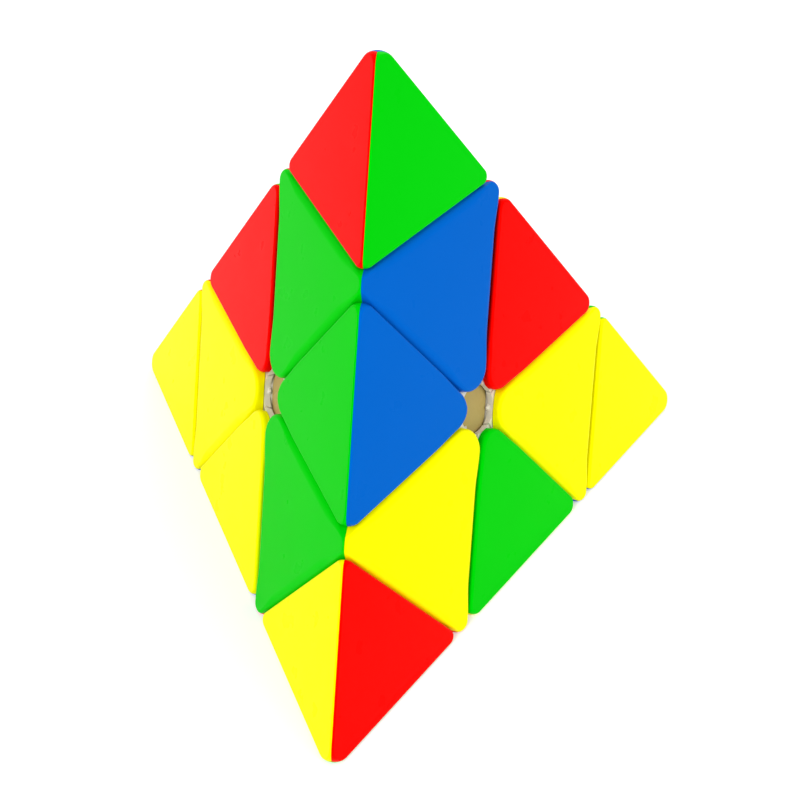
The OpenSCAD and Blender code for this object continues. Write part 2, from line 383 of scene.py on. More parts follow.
def domed_corner(a, b, r, dome, depth, vertex=None):
    """Columns of a corner on the pyramid's edge: a dome touches both caps' borders and the ridge."""
    wide = dome - r
    low = wide * math.sqrt(1 / 3)
    first_mitred = a.mitred
    ridge, other = (a, b) if a.mitred else (b, a)
    if other.mitred:
        off = low
    else:
        flat = math.sqrt(1 - other.lean * other.lean)
        off = low * other.lean + flat * wide * math.sqrt(2 / 3)
    insets = []
    for side in (a, b):
        if side.mitred:
            insets.append((low + r) * math.sqrt(2))
        else:
            insets.append((off + r - (low + r) * side.lean) / math.sqrt(1 - side.lean * side.lean))
    middle = meet(a, a.reach - insets[0], b, b.reach - insets[1]) - OUT * (low + r)
    foot = meet(a, a.reach_at(depth), b, b.reach_at(depth)) - OUT * depth
    sweep = (b.angle - a.angle) % 360
    columns = []
    for k in range(CORNER_STEPS + 1):
        part = k / CORNER_STEPS
        away = math.radians(a.angle + sweep * part)
        way = Vector((math.cos(away), math.sin(away), 0))
        border = way * math.sqrt(2 / 3) + OUT * math.sqrt(1 / 3)
        ball = middle + border * wide
        from_ridge = part if first_mitred else 1 - part
        third = []
        if vertex:
            if part <= 0.5:
                end = a.normal.slerp(vertex, part * 2)
            else:
                end = vertex.slerp(b.normal, part * 2 - 1)
        else:
            tilt = math.acos(min(1, off / wide))
            stop = other.normal.slerp(ridge.normal, tilt / other.normal.angle(ridge.normal))
            if from_ridge < 0.5:
                end = ridge.normal.slerp(stop, from_ridge * 2)
            else:
                last = other.way * math.sqrt(2 / 3) + OUT * math.sqrt(1 / 3)
                turned = stop.slerp(last, from_ridge * 2 - 1)
                across = (turned - other.normal * turned.dot(other.normal)).normalized()
                end = other.normal * math.cos(tilt) + across * math.sin(tilt)
                near = middle + end * wide
                third = [near + end.slerp(other.normal, j / THIRD) * r for j in range(1, THIRD + 1)]
        first = [ball + OUT.slerp(border, j / FIRST) * r for j in range(FIRST + 1)]
        second = [middle + border.slerp(end, j / SECOND) * dome for j in range(1, SECOND + 1)]
        third = third or [second[-1]] * THIRD
        columns.append((ball, r, [*first, *second, *third, foot]))
    return columns


def opening_corner(a, b, radius, r, depth):
    """Columns of the wide rounding that a corner has at the opening in the middle of a face."""
    sharp = meet(a, a.reach, b, b.reach).length
    bend = radius - sharp
    centre = meet(a, a.reach - bend, b, b.reach - bend)
    sweep = (b.angle - a.angle) % 360
    slope = a.lean / math.sqrt(1 - a.lean * a.lean)
    columns = []
    for k in range(OPENING_STEPS + 1):
        turn = sweep * k / OPENING_STEPS
        near = min(turn, sweep - turn)
        away = math.radians(a.angle + turn)
        way = Vector((math.cos(away), math.sin(away), 0))
        if slope > 0:
            rise = slope * (1 - near / (sweep / 2)) ** 2
        else:
            c = math.cos(math.radians(near))
            rise = min(0, (slope + bend * (1 - c) / depth) / c)
        lean = rise / math.sqrt(1 + rise * rise)
        flat = math.sqrt(1 - lean * lean)
        trace = centre + way * bend
        ball = trace - way * (r * (1 - lean) / flat) - OUT * r
        foot = trace + way * (rise * depth) - OUT * depth
        normal = way * flat + OUT * lean
        columns.append((ball, r, column(ball, r, OUT.slerp(normal, 0.5), normal, foot)))
    return columns


def side_columns(side, start, end):
    """Columns between two corners; the rounding eases from each corner's radius to the side's own."""
    ball_a, r_a, points_a = start
    ball_b, r_b, points_b = end
    t_a, t_b = ball_a.dot(side.along), ball_b.dot(side.along)
    length = t_b - t_a
    near = [s for s in EASE_STOPS if s < length / 2]
    stops = sorted({round(s, 6) for s in near} | {round(length - s, 6) for s in near})
    half = OUT.slerp(side.normal, 0.5)
    columns = []
    for s in stops:
        w_a, w_b = max(0, 1 - s / EASE), max(0, 1 - (length - s) / EASE)
        w_a, w_b = w_a * w_a * (3 - 2 * w_a), w_b * w_b * (3 - 2 * w_b)
        r = side.radius + (r_a - side.radius) * w_a + (r_b - side.radius) * w_b
        ball = side.way * (side.reach - side.inset(r)) + side.along * (t_a + s) - OUT * r
        foot = points_a[-1].lerp(points_b[-1], s / length)
        if side.mitred:
            first = [ball + OUT.slerp(side.normal, k / FIRST) * r for k in range(FIRST + 1)]
            columns.append((ball, r, first + [first[-1]] * (SECOND + THIRD) + [foot]))
        else:
            columns.append((ball, r, column(ball, r, half, side.normal, foot)))
    return columns


def rounded_slab(name, sides, corners):
    """Closed slab under a face: plate, rounded borders and walls down to their feet."""
    loop = []
    count = len(sides)
    for i, side in enumerate(sides):
        before, after = corners[i], corners[(i + 1) % count]
        loop += before
        loop += side_columns(side, before[-1], after[0])
    rings = list(zip(*[points for _, _, points in loop]))
    bm = bmesh.new()
    made = [[bm.verts.new(p) for p in ring] for ring in rings]
    size = len(loop)
    for top, low in zip(made, made[1:]):
        for i in range(size):
            j = (i + 1) % size
            bm.faces.new((top[i], low[i], low[j], top[j]))
    bm.faces.new(made[0])
    bm.faces.new(list(reversed(made[-1])))
    bmesh.ops.remove_doubles(bm, verts=bm.verts, dist=2e-6)
    bmesh.ops.dissolve_degenerate(bm, edges=bm.edges, dist=1e-6)
    bmesh.ops.recalc_face_normals(bm, faces=bm.faces)
    mesh = bpy.data.meshes.new(name)
    bm.to_mesh(mesh)
    bm.free()
    return mesh


def hollow_block(name, sides, sizes, clip):
    """Block inside a cap's walls, from under its plate downwards, open where caps meet on a mitre."""
    planes = list(sides)
    reaches = []
    for s in sides:
        wall = -4 * MM if s.mitred else sizes.cap_thickness / math.sqrt(1 - s.lean * s.lean)
        reaches.append(lambda d, s=s, wall=wall: s.reach_at(d) - wall)
    if clip:
        planes.append(Side(270, 0, 0, 0))
        reaches.append(lambda d: -(sizes.opening_radius + sizes.cap_thickness))
    bm = bmesh.new()
    rings = []
    for d in (sizes.cap_thickness, 1.5 * sizes.cap_depth):
        ring = []
        for i in range(len(planes)):
            j = (i + 1) % len(planes)
            ring.append(bm.verts.new(meet(planes[i], reaches[i](d), planes[j], reaches[j](d)) - OUT * d))
        rings.append(ring)
    size = len(planes)
    for i in range(size):
        j = (i + 1) % size
        bm.faces.new((rings[0][i], rings[1][i], rings[1][j], rings[0][j]))
    bm.faces.new(rings[0])
    bm.faces.new(list(reversed(rings[1])))
    bmesh.ops.recalc_face_normals(bm, faces=bm.faces)
    mesh = bpy.data.meshes.new(name)
    bm.to_mesh(mesh)
    bm.free()
    return mesh


def flange_ball(name, radius):
    """Ball round the core, as seen from a cap's own place."""
    bm = bmesh.new()
    centre = Matrix.Translation(-OUT * FACE_DIST)
    bmesh.ops.create_icosphere(bm, subdivisions=6, radius=radius, matrix=centre)
    mesh = bpy.data.meshes.new(name)
    bm.to_mesh(mesh)
    bm.free()
    return mesh


def carved(slab, cutters):
    """The slab's mesh with each cutter's shape taken away and its normals smoothed by face size."""
    body = bpy.data.objects.new(slab.name, slab)
    bpy.context.collection.objects.link(body)
    helpers = []
    for cutter in cutters:
        helper = bpy.data.objects.new(cutter.name, cutter)
        bpy.context.collection.objects.link(helper)
        carve = body.modifiers.new("Carve", "BOOLEAN")
        carve.operation = "DIFFERENCE"
        carve.solver = "MANIFOLD"
        carve.object = helper
        helpers.append(helper)
    graph = bpy.context.evaluated_depsgraph_get()
    mesh = bpy.data.meshes.new_from_object(body.evaluated_get(graph))
    for o in (body, *helpers):
        data = o.data
        bpy.data.objects.remove(o)
        bpy.data.meshes.remove(data)
    bm = bmesh.new()
    bm.from_mesh(mesh)
    bmesh.ops.remove_doubles(bm, verts=bm.verts, dist=1e-7)
    # Loose edges and slivers that the cut leaves on the foot plane are cleared away
    bmesh.ops.delete(bm, geom=[e for e in bm.edges if not e.link_faces], context="EDGES")
    stray = [f for f in bm.faces if all(e.is_boundary for e in f.edges)]
    bmesh.ops.delete(bm, geom=stray, context="FACES")
    bmesh.ops.recalc_face_normals(bm, faces=bm.faces)
    for f in bm.faces:
        f.smooth = True
    for e in bm.edges:
        e.smooth = e.is_manifold and e.calc_face_angle(0) < math.radians(32)
    bm.to_mesh(mesh)
    bm.free()
    body = bpy.data.objects.new("cap", mesh)
    bpy.context.collection.objects.link(body)
    weigh = body.modifiers.new("Weighted normals", "WEIGHTED_NORMAL")
    weigh.keep_sharp = True
    weigh.weight = 100
    graph = bpy.context.evaluated_depsgraph_get()
    finished = bpy.data.meshes.new_from_object(body.evaluated_get(graph))
    bpy.data.objects.remove(body)
    bpy.data.meshes.remove(mesh)
    return finished


def tip_cap_mesh(sizes):
    """Cap of a tip: a triangle that narrows to the pyramid's corner."""
    depth, r = sizes.cap_depth, sizes.ridge_radius
    reach = -(FACE_IN_RADIUS + sizes.tip_set_back * math.sqrt(3) / 2)
    right = mitre(30, r, sizes.mitre_gap)
    left = mitre(150, r, sizes.mitre_gap)
    low = cut(270, reach, -1 / 3, r, sizes.turn_gap)
    vertex = Vector((0, math.sqrt(8) / 3, 1 / 3))
    sides = [right, left, low]
    corners = [
        domed_corner(low, right, r, sizes.tip_dome, depth),
        domed_corner(right, left, r, sizes.vertex_dome, depth, vertex),
        domed_corner(left, low, r, sizes.tip_dome, depth),
    ]
    slab = rounded_slab("tip_cap", sides, corners)
    return carved(slab, [hollow_block("tip_hollow", sides, sizes, False)])


def axial_cap_mesh(sizes):
    """Cap of an axial piece: a triangle that points at the opening, cut off at the pyramid's edges."""
    depth, r, groove = sizes.cap_depth, sizes.ridge_radius, sizes.groove_radius
    dome = sizes.bridge_dome
    reach = FACE_IN_RADIUS + sizes.tip_set_back * math.sqrt(3) / 2
    low_right = cut(330, 0, 1 / 3, groove, sizes.turn_gap)
    right = mitre(30, r, sizes.mitre_gap)
    top = cut(90, reach, 1 / 3, groove, sizes.turn_gap)
    left = mitre(150, r, sizes.mitre_gap)
    low_left = cut(210, 0, 1 / 3, groove, sizes.turn_gap)
    sides = [low_right, right, top, left, low_left]
    corners = [
        opening_corner(low_left, low_right, sizes.opening_radius, sizes.rim_radius, depth),
        domed_corner(low_right, right, r, dome, depth),
        domed_corner(right, top, r, dome, depth),
        domed_corner(top, left, r, dome, depth),
        domed_corner(left, low_left, r, dome, depth),
    ]
    slab = rounded_slab("axial_cap", sides, corners)
    ball = flange_ball("axial_ball", sizes.flange_ball)
    return carved(slab, [hollow_block("axial_hollow", [low_right, top, low_left], sizes, True), ball])


def edge_cap_mesh(sizes):
    """Cap of an edge piece: a triangle with one side along the pyramid's edge."""
    depth, r = sizes.cap_depth, sizes.ridge_radius
    right = cut(330, 0, -1 / 3, r, sizes.turn_gap)
    top = mitre(90, r, sizes.mitre_gap)
    left = cut(210, 0, -1 / 3, r, sizes.turn_gap)
    sides = [right, top, left]
    corners = [
        opening_corner(left, right, sizes.opening_radius, sizes.rim_radius, depth),
        domed_corner(right, top, r, sizes.edge_dome, depth),
        domed_corner(top, left, r, sizes.edge_dome, depth),
    ]
    slab = rounded_slab("edge_cap", sides, corners)
    ball = flange_ball("edge_ball", sizes.flange_ball)
    return carved(slab, [hollow_block("edge_hollow", sides, sizes, True), ball])


def put_cap(home, place, stands_for, body, colour):
    """One cap: a turned copy of its kind's mesh, in its own colour, riding on its body."""
    mesh = home.copy()
    mesh.transform(place)
    mesh.name = stands_for
    mesh.materials.clear()
    mesh.materials.append(bpy.data.materials[f"{colour} gloss ABS"])
    piece = bpy.data.objects.new(f"{stands_for}_moulded", mesh)
    bpy.context.collection.objects.link(piece)
    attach(piece, body)
    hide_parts(stands_for)


# ---- materials ----


def linear(colour):
    """An sRGB hex value as linear red, green, blue and alpha."""
    parts = [int(colour[i : i + 2], 16) / 255 for i in (1, 3, 5)]
    return (*[p / 12.92 if p <= 0.04045 else ((p + 0.055) / 1.055) ** 2.4 for p in parts], 1)


def node(tree, kind, settings=None, values=None, links=None):
    """Adds a node with its settings, input values and links from other nodes' outputs."""
    made = tree.nodes.new(kind)
    for key, value in (settings or {}).items():
        setattr(made, key, value)
    for key, value in (values or {}).items():
        made.inputs[key].default_value = value
    for key, source in (links or {}).items():
        tree.links.new(source, made.inputs[key])
    return made


def new_material(name):
    """An empty material with its output node."""
    material = bpy.data.materials.new(name)
    material.use_nodes = True
    tree = material.node_tree
    tree.nodes.clear()
    return material, tree


def moulded_abs(name, colour, shade, rough_low, rough_high):
    """Injection-moulded ABS: an even, deep colour with a smooth satin gloss."""
    material, tree = new_material(name)
    place = node(tree, "ShaderNodeTexCoord").outputs["Object"]
    # Flow of the melt: clouds about 12 mm across that shift the colour very slightly
    flow = node(
        tree,
        "ShaderNodeTexNoise",
        values={"Scale": 85.0, "Detail": 2.0},
        links={"Vector": place},
    )
    tone = node(
        tree,
        "ShaderNodeMix",
        {"data_type": "RGBA"},
        {"A": linear(colour), "B": linear(shade)},
        {"Factor": flow.outputs["Fac"]},
    )
    # Handling leaves patches about 4 mm across, a little more and less glossy
    patches = node(
        tree,
        "ShaderNodeTexNoise",
        values={"Scale": 260.0, "Detail": 4.0},
        links={"Vector": place},
    )
    rough = node(
        tree,
        "ShaderNodeMapRange",
        values={"From Min": 0.3, "From Max": 0.7, "To Min": rough_low, "To Max": rough_high},
        links={"Value": patches.outputs["Fac"]},
    )
    # Faint scuffs: long cells about 0.4 mm wide in one direction, drawn wider than real ones to show
    stretch = node(
        tree,
        "ShaderNodeMapping",
        values={"Rotation": (0.5, 0.3, 0.9), "Scale": (1.0, 14.0, 1.0)},
        links={"Vector": place},
    )
    hairs = node(
        tree,
        "ShaderNodeTexNoise",
        values={"Scale": 170.0, "Detail": 3.0, "Roughness": 0.6},
        links={"Vector": stretch.outputs["Vector"]},
    )
    scuffs = node(
        tree,
        "ShaderNodeMapRange",
        values={"From Min": 0.64, "From Max": 0.78, "To Min": 0.0, "To Max": 0.02},
        links={"Value": hairs.outputs["Fac"]},
    )
    worn = node(
        tree,
        "ShaderNodeMath",
        {"operation": "ADD"},
        links={0: rough.outputs["Result"], 1: scuffs.outputs["Result"]},
    )
    # Orange peel of the mould's polish, about 1.2 mm between crests and hardly raised
    peel = node(
        tree,
        "ShaderNodeTexNoise",
        values={"Scale": 800.0, "Detail": 1.5},
        links={"Vector": place},
    )
    bump = node(
        tree,
        "ShaderNodeBump",
        values={"Strength": 0.004, "Distance": 0.02 * MM},
        links={"Height": peel.outputs["Fac"]},
    )
    # A low, tinted specular level keeps a white studio's reflection from veiling the pigment
    surface = node(
        tree,
        "ShaderNodeBsdfPrincipled",
        values={"IOR": 1.53, "Specular IOR Level": 0.03, "Specular Tint": linear(colour)},
        links={
            "Base Color": tone.outputs["Result"],
            "Roughness": worn.outputs["Value"],
            "Normal": bump.outputs["Normal"],
        },
    )
    node(tree, "ShaderNodeOutputMaterial", links={"Surface": surface.outputs["BSDF"]})
    return material


def zinc_steel(name, colour, shade):
    """Bright steel: a metallic grey with a fine spangle and a grain that blurs what it reflects."""
    material, tree = new_material(name)
    place = node(tree, "ShaderNodeTexCoord").outputs["Object"]
    # Spangle of the surface, 0.7 mm across
    spangle = node(tree, "ShaderNodeTexVoronoi", values={"Scale": 1400.0}, links={"Vector": place})
    tone = node(
        tree,
        "ShaderNodeMix",
        {"data_type": "RGBA"},
        {"A": linear(colour), "B": linear(shade)},
        {"Factor": spangle.outputs["Distance"]},
    )
    # Grain about 0.3 mm across
    grain = node(
        tree,
        "ShaderNodeTexNoise",
        values={"Scale": 3000.0, "Detail": 3.0},
        links={"Vector": place},
    )
    rough = node(
        tree,
        "ShaderNodeMapRange",
        values={"To Min": 0.24, "To Max": 0.44},
        links={"Value": grain.outputs["Fac"]},
    )
    bump = node(
        tree,
        "ShaderNodeBump",
        values={"Strength": 0.15, "Distance": 0.02 * MM},
        links={"Height": grain.outputs["Fac"]},
    )
    surface = node(
        tree,
        "ShaderNodeBsdfPrincipled",
        values={"Metallic": 1.0},
        links={
            "Base Color": tone.outputs["Result"],
            "Roughness": rough.outputs["Result"],
            "Normal": bump.outputs["Normal"],
        },
    )
    node(tree, "ShaderNodeOutputMaterial", links={"Surface": surface.outputs["BSDF"]})
    return material


def seen_rays(tree):
    """1 for what the camera sees directly, in gloss or through something clear, and 0 for the rest."""
    rays = node(tree, "ShaderNodeLightPath").outputs
    direct = node(
        tree,
        "ShaderNodeMath",
        {"operation": "MAXIMUM"},
        links={0: rays["Is Camera Ray"], 1: rays["Is Glossy Ray"]},
    )
    both = node(
        tree,
        "ShaderNodeMath",
        {"operation": "MAXIMUM"},
        links={0: direct.outputs["Value"], 1: rays["Is Transmission Ray"]},
    )
    return both.outputs["Value"]


# ---- what repeats on the four turning axes ----


def pivot_tree(name, sizes):
    """Geometry tree with a named input for each of its sizes."""
    tree = bpy.data.node_groups.new(name, "GeometryNodeTree")
    tree.is_modifier = True
    tree.interface.new_socket("Geometry", in_out="INPUT", socket_type="NodeSocketGeometry")
    for label in sizes:
        tree.interface.new_socket(label, in_out="INPUT", socket_type="NodeSocketFloat")
    tree.interface.new_socket("Geometry", in_out="OUTPUT", socket_type="NodeSocketGeometry")
    return tree, node(tree, "NodeGroupInput").outputs


def stand_on_axes(tree, given, shape, material):
    """Ends a tree: the shape stands at each point with its z axis pointing outwards."""
    place = node(tree, "GeometryNodeInputPosition").outputs["Position"]
    aim = node(tree, "FunctionNodeAlignRotationToVector", {"axis": "Z"}, links={"Vector": place})
    stood = node(
        tree,
        "GeometryNodeInstanceOnPoints",
        links={"Points": given["Geometry"], "Instance": shape, "Rotation": aim.outputs["Rotation"]},
    )
    real = node(tree, "GeometryNodeRealizeInstances", links={"Geometry": stood.outputs["Instances"]})
    done = node(
        tree,
        "GeometryNodeSetMaterial",
        values={"Material": bpy.data.materials[material]},
        links={"Geometry": real.outputs["Geometry"]},
    )
    node(tree, "NodeGroupOutput", links={"Geometry": done.outputs["Geometry"]})


def put_pivots(tree, sizes, seat, stands_for):
    """Runs a tree on a point on each axis and keeps its result as one plain mesh on the core."""
    base = bpy.data.meshes.new(f"{stands_for}_points")
    base.from_pydata([aim * seat for aim in AIM], [], [])
    piece = bpy.data.objects.new(f"{stands_for}_fitted", base)
    bpy.context.collection.objects.link(piece)
    modifier = piece.modifiers.new(stands_for, "NODES")
    modifier.node_group = tree
    for item in tree.interface.items_tree:
        if item.in_out == "INPUT" and item.name in sizes:
            modifier[item.identifier] = sizes[item.name]
    ready = bpy.context.evaluated_depsgraph_get()
    mesh = bpy.data.meshes.new_from_object(piece.evaluated_get(ready), depsgraph=ready)
    piece.modifiers.clear()
    # Set Material leaves the empty slot that the points had
    if mesh.materials[0] is None:
        mesh.materials.pop(index=0)
    bm = bmesh.new()
    bm.from_mesh(mesh)
    bmesh.ops.remove_doubles(bm, verts=bm.verts, dist=1e-6)
    bmesh.ops.recalc_face_normals(bm, faces=bm.faces)
    bm.to_mesh(mesh)
    bm.free()
    mesh.shade_smooth()
    mesh.set_sharp_from_angle(angle=math.radians(35))
    mesh.name = stands_for
    piece.data = mesh
    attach(piece, "core")
    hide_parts(stands_for)


def darker(colour, factor):
    """The same hex colour with each part scaled."""
    parts = [min(255, round(int(colour[i : i + 2], 16) * factor)) for i in (1, 3, 5)]
    return "#" + "".join(f"{p:02x}" for p in parts)


class PUZZLE_OT_materials(bpy.types.Operator):
    """Make the plastics and metals, and give the carried-over CAD pieces theirs"""

    bl_idname = "puzzle.materials"
    bl_label = "Materials"

    def execute(self, context):
        colours = context.scene.puzzle_colours
        for name in ("red", "green", "blue", "yellow"):
            colour = getattr(colours, name)
            moulded_abs(f"{name} gloss ABS", colour, darker(colour, 0.975), 0.27, 0.31)
        ivory = moulded_abs("ivory gloss ABS", colours.ivory, darker(colours.ivory, 0.96), 0.25, 0.3)
        # The core's olive tone is painted shade of the openings and painted reflection of the coloured
        # caps, not its plastic's own colour
        core = moulded_abs("natural gloss ABS", colours.core, darker(colours.core, 0.96), 0.25, 0.3)
        zinc = zinc_steel("zinc-plated steel", colours.zinc, darker(colours.zinc, 0.8))
        wire = zinc_steel("drawn spring steel", colours.wire, darker(colours.wire, 0.75))
        for name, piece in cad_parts.items():
            material = ivory
            if name == "core":
                material = core
            if name in ("pivot_screws", "washers"):
                material = zinc
            if name == "springs":
                material = wire
            for spot in piece.material_slots:
                spot.material = material
        return {"FINISHED"}


class PUZZLE_OT_tip_caps(bpy.types.Operator):
    """Make the twelve caps of the four tips"""

    bl_idname = "puzzle.tip_caps"
    bl_label = "Tip caps"

    def execute(self, context):
        home = tip_cap_mesh(context.scene.puzzle_sizes)
        for c, faces in enumerate(TIP_COLOURS):
            for f, colour in faces.items():
                body = f"tip_{CORNERS[c]}"
                put_cap(home, face_place(f, AIM[c]), f"{body}_cap_{FACES[f]}", body, colour)
        return {"FINISHED"}


class PUZZLE_OT_axial_caps(bpy.types.Operator):
    """Make the twelve caps of the four axial pieces"""

    bl_idname = "puzzle.axial_caps"
    bl_label = "Axial caps"

    def execute(self, context):
        home = axial_cap_mesh(context.scene.puzzle_sizes)
        for c, faces in enumerate(AXIAL_COLOURS):
            for f, colour in faces.items():
                body = f"axial_{CORNERS[c]}"
                put_cap(home, face_place(f, AIM[c]), f"{body}_cap_{FACES[f]}", body, colour)
        return {"FINISHED"}


class PUZZLE_OT_edge_caps(bpy.types.Operator):
    """Make the twelve caps of the six edge pieces"""

    bl_idname = "puzzle.edge_caps"
    bl_label = "Edge caps"

    def execute(self, context):
        home = edge_cap_mesh(context.scene.puzzle_sizes)
        for (a, b), faces in zip(EDGES, EDGE_COLOURS):
            for f, colour in faces.items():
                body = f"edge_{CORNERS[a]}_{CORNERS[b]}"
                put_cap(home, face_place(f, AIM[a] + AIM[b]), f"{body}_cap_{FACES[f]}", body, colour)
        return {"FINISHED"}


class PUZZLE_OT_springs(bpy.types.Operator):
    """Wind the four springs that press the axial pieces on to the core"""

    bl_idname = "puzzle.springs"
    bl_label = "Springs"

    def execute(self, context):
        sizes = context.scene.puzzle_sizes
        values = {
            "Length": sizes.spring_length - 2 * sizes.wire_radius,
            "Radius": sizes.spring_radius,
            "Wire radius": sizes.wire_radius,
            "Coils": float(sizes.coils),
        }
        tree, given = pivot_tree("spring winding", values)
        coil = node(
            tree,
            "GeometryNodeCurveSpiral",
            values={"Resolution": 32},
            links={
                "Rotations": given["Coils"],
                "Start Radius": given["Radius"],
                "End Radius": given["Radius"],
                "Height": given["Length"],
            },
        )
        wire = node(
            tree,
            "GeometryNodeCurvePrimitiveCircle",
            values={"Resolution": 10},
            links={"Radius": given["Wire radius"]},
        )
        swept = node(
            tree,
            "GeometryNodeCurveToMesh",
            values={"Fill Caps": True},
            links={"Curve": coil.outputs["Curve"], "Profile Curve": wire.outputs["Curve"]},
        )
        stand_on_axes(tree, given, swept.outputs["Mesh"], "drawn spring steel")
        # The first coil lies 0.1 mm off its seat
        seat = sizes.spring_seat + 0.1 * MM + sizes.wire_radius
        put_pivots(tree, values, seat, "springs")
        return {"FINISHED"}


class PUZZLE_OT_washers(bpy.types.Operator):
    """Make the four washers between the springs and the screws' heads"""

    bl_idname = "puzzle.washers"
    bl_label = "Washers"

    def execute(self, context):
        sizes = context.scene.puzzle_sizes
        values = {
            "Middle radius": (sizes.washer_radius + sizes.washer_bore) / 2,
            "Width": sizes.washer_radius - sizes.washer_bore,
            "Thickness": sizes.washer_thickness,
        }
        tree, given = pivot_tree("washer stamping", values)
        ring = node(
            tree,
            "GeometryNodeCurvePrimitiveCircle",
            values={"Resolution": 48},
            links={"Radius": given["Middle radius"]},
        )
        section = node(
            tree,
            "GeometryNodeCurvePrimitiveQuadrilateral",
            links={"Width": given["Width"], "Height": given["Thickness"]},
        )
        swept = node(
            tree,
            "GeometryNodeCurveToMesh",
            links={"Curve": ring.outputs["Curve"], "Profile Curve": section.outputs["Curve"]},
        )
        stand_on_axes(tree, given, swept.outputs["Mesh"], "zinc-plated steel")
        seat = sizes.head_seat - sizes.washer_thickness / 2
        put_pivots(tree, values, seat, "washers")
        return {"FINISHED"}


class PUZZLE_OT_pivot_screws(bpy.types.Operator):
    """Make the four screws that the axial pieces turn on"""

    bl_idname = "puzzle.pivot_screws"
    bl_label = "Pivot screws"

    def execute(self, context):
        sizes = context.scene.puzzle_sizes
        thread_size = 0.2 * MM
        thread_end = 0.3 * MM
        thread_length = sizes.screw_length - 2 * thread_end
        values = {
            "Head radius": sizes.head_radius,
            "Top radius": sizes.head_radius - sizes.head_height / 3,
            "Head height": sizes.head_height,
            "Core radius": sizes.screw_radius - 0.24 * MM,
            "Crest radius": sizes.screw_radius - thread_size,
            "Thread size": thread_size,
            "Length": sizes.screw_length,
            "Thread length": thread_length,
            "Turns": thread_length / sizes.thread_pitch,
        }
        tree, given = pivot_tree("screw turning", values)
        head = node(
            tree,
            "GeometryNodeMeshCone",
            values={"Vertices": 48},
            links={
                "Radius Top": given["Top radius"],
                "Radius Bottom": given["Head radius"],
                "Depth": given["Head height"],
            },
        )
        # The cross recess is cut by two bars that stand out of the head's top
        long, wide, deep, tall = 3.2 * MM, 0.9 * MM, 1.4 * MM, 2 * MM
        slots = []
        for size in ((long, wide, tall), (wide, long, tall)):
            bar = node(tree, "GeometryNodeMeshCube", values={"Size": size})
            moved = node(
                tree,
                "GeometryNodeTransform",
                values={"Translation": (0, 0, sizes.head_height - deep + tall / 2)},
                links={"Geometry": bar.outputs["Mesh"]},
            )
            slots.append(moved.outputs["Geometry"])
        cross = node(tree, "GeometryNodeMeshBoolean", {"operation": "UNION", "solver": "MANIFOLD"})
        for slot in slots:
            tree.links.new(slot, cross.inputs["Mesh 2"])
        driven = node(
            tree,
            "GeometryNodeMeshBoolean",
            {"operation": "DIFFERENCE", "solver": "MANIFOLD"},
            links={"Mesh 1": head.outputs["Mesh"], "Mesh 2": cross.outputs["Mesh"]},
        )
        shank = node(
            tree,
            "GeometryNodeMeshCylinder",
            values={"Vertices": 32},
            links={"Radius": given["Core radius"], "Depth": given["Length"]},
        )
        # The shank starts 0.05 mm inside the head so that no gap shows under it
        lowered = node(
            tree,
            "GeometryNodeTransform",
            values={"Translation": (0, 0, 0.05 * MM - sizes.screw_length / 2)},
            links={"Geometry": shank.outputs["Mesh"]},
        )
        path = node(
            tree,
            "GeometryNodeCurveSpiral",
            values={"Resolution": 20},
            links={
                "Rotations": given["Turns"],
                "Start Radius": given["Crest radius"],
                "End Radius": given["Crest radius"],
                "Height": given["Thread length"],
            },
        )
        section = node(
            tree,
            "GeometryNodeCurvePrimitiveCircle",
            values={"Resolution": 4},
            links={"Radius": given["Thread size"]},
        )
        ridge = node(
            tree,
            "GeometryNodeCurveToMesh",
            values={"Fill Caps": True},
            links={"Curve": path.outputs["Curve"], "Profile Curve": section.outputs["Curve"]},
        )
        wound = node(
            tree,
            "GeometryNodeTransform",
            values={"Translation": (0, 0, thread_end - sizes.screw_length)},
            links={"Geometry": ridge.outputs["Mesh"]},
        )
        parts = node(tree, "GeometryNodeJoinGeometry")
        for part in (driven.outputs["Mesh"], lowered.outputs["Geometry"], wound.outputs["Geometry"]):
            tree.links.new(part, parts.inputs["Geometry"])
        stand_on_axes(tree, given, parts.outputs["Geometry"], "zinc-plated steel")
        put_pivots(tree, values, sizes.head_seat, "pivot_screws")
        return {"FINISHED"}


FLOOR_SIZE = 5
# Name, place in metres, width in metres and power in watts of each soft light
SOFTBOXES = (
    ("key_softbox", (-0.35, -0.55, 0.62), 0.5, 3.6),
    ("fill_softbox", (0.62, -0.38, 0.4), 0.5, 2.2),
    ("back_softbox", (0.1, 0.7, 0.55), 0.6, 2.2),
)
# The camera's azimuth, elevation and roll in degrees, its lens in millimetres, and its place in metres:
# back from the core, to the right and up in its own picture
CAMERA_ANGLES = (7.4222, 40.3534, -0.4282)
CAMERA_LENS = 57.42
CAMERA_PLACE = (0.20072, 0.00258, -0.000747)


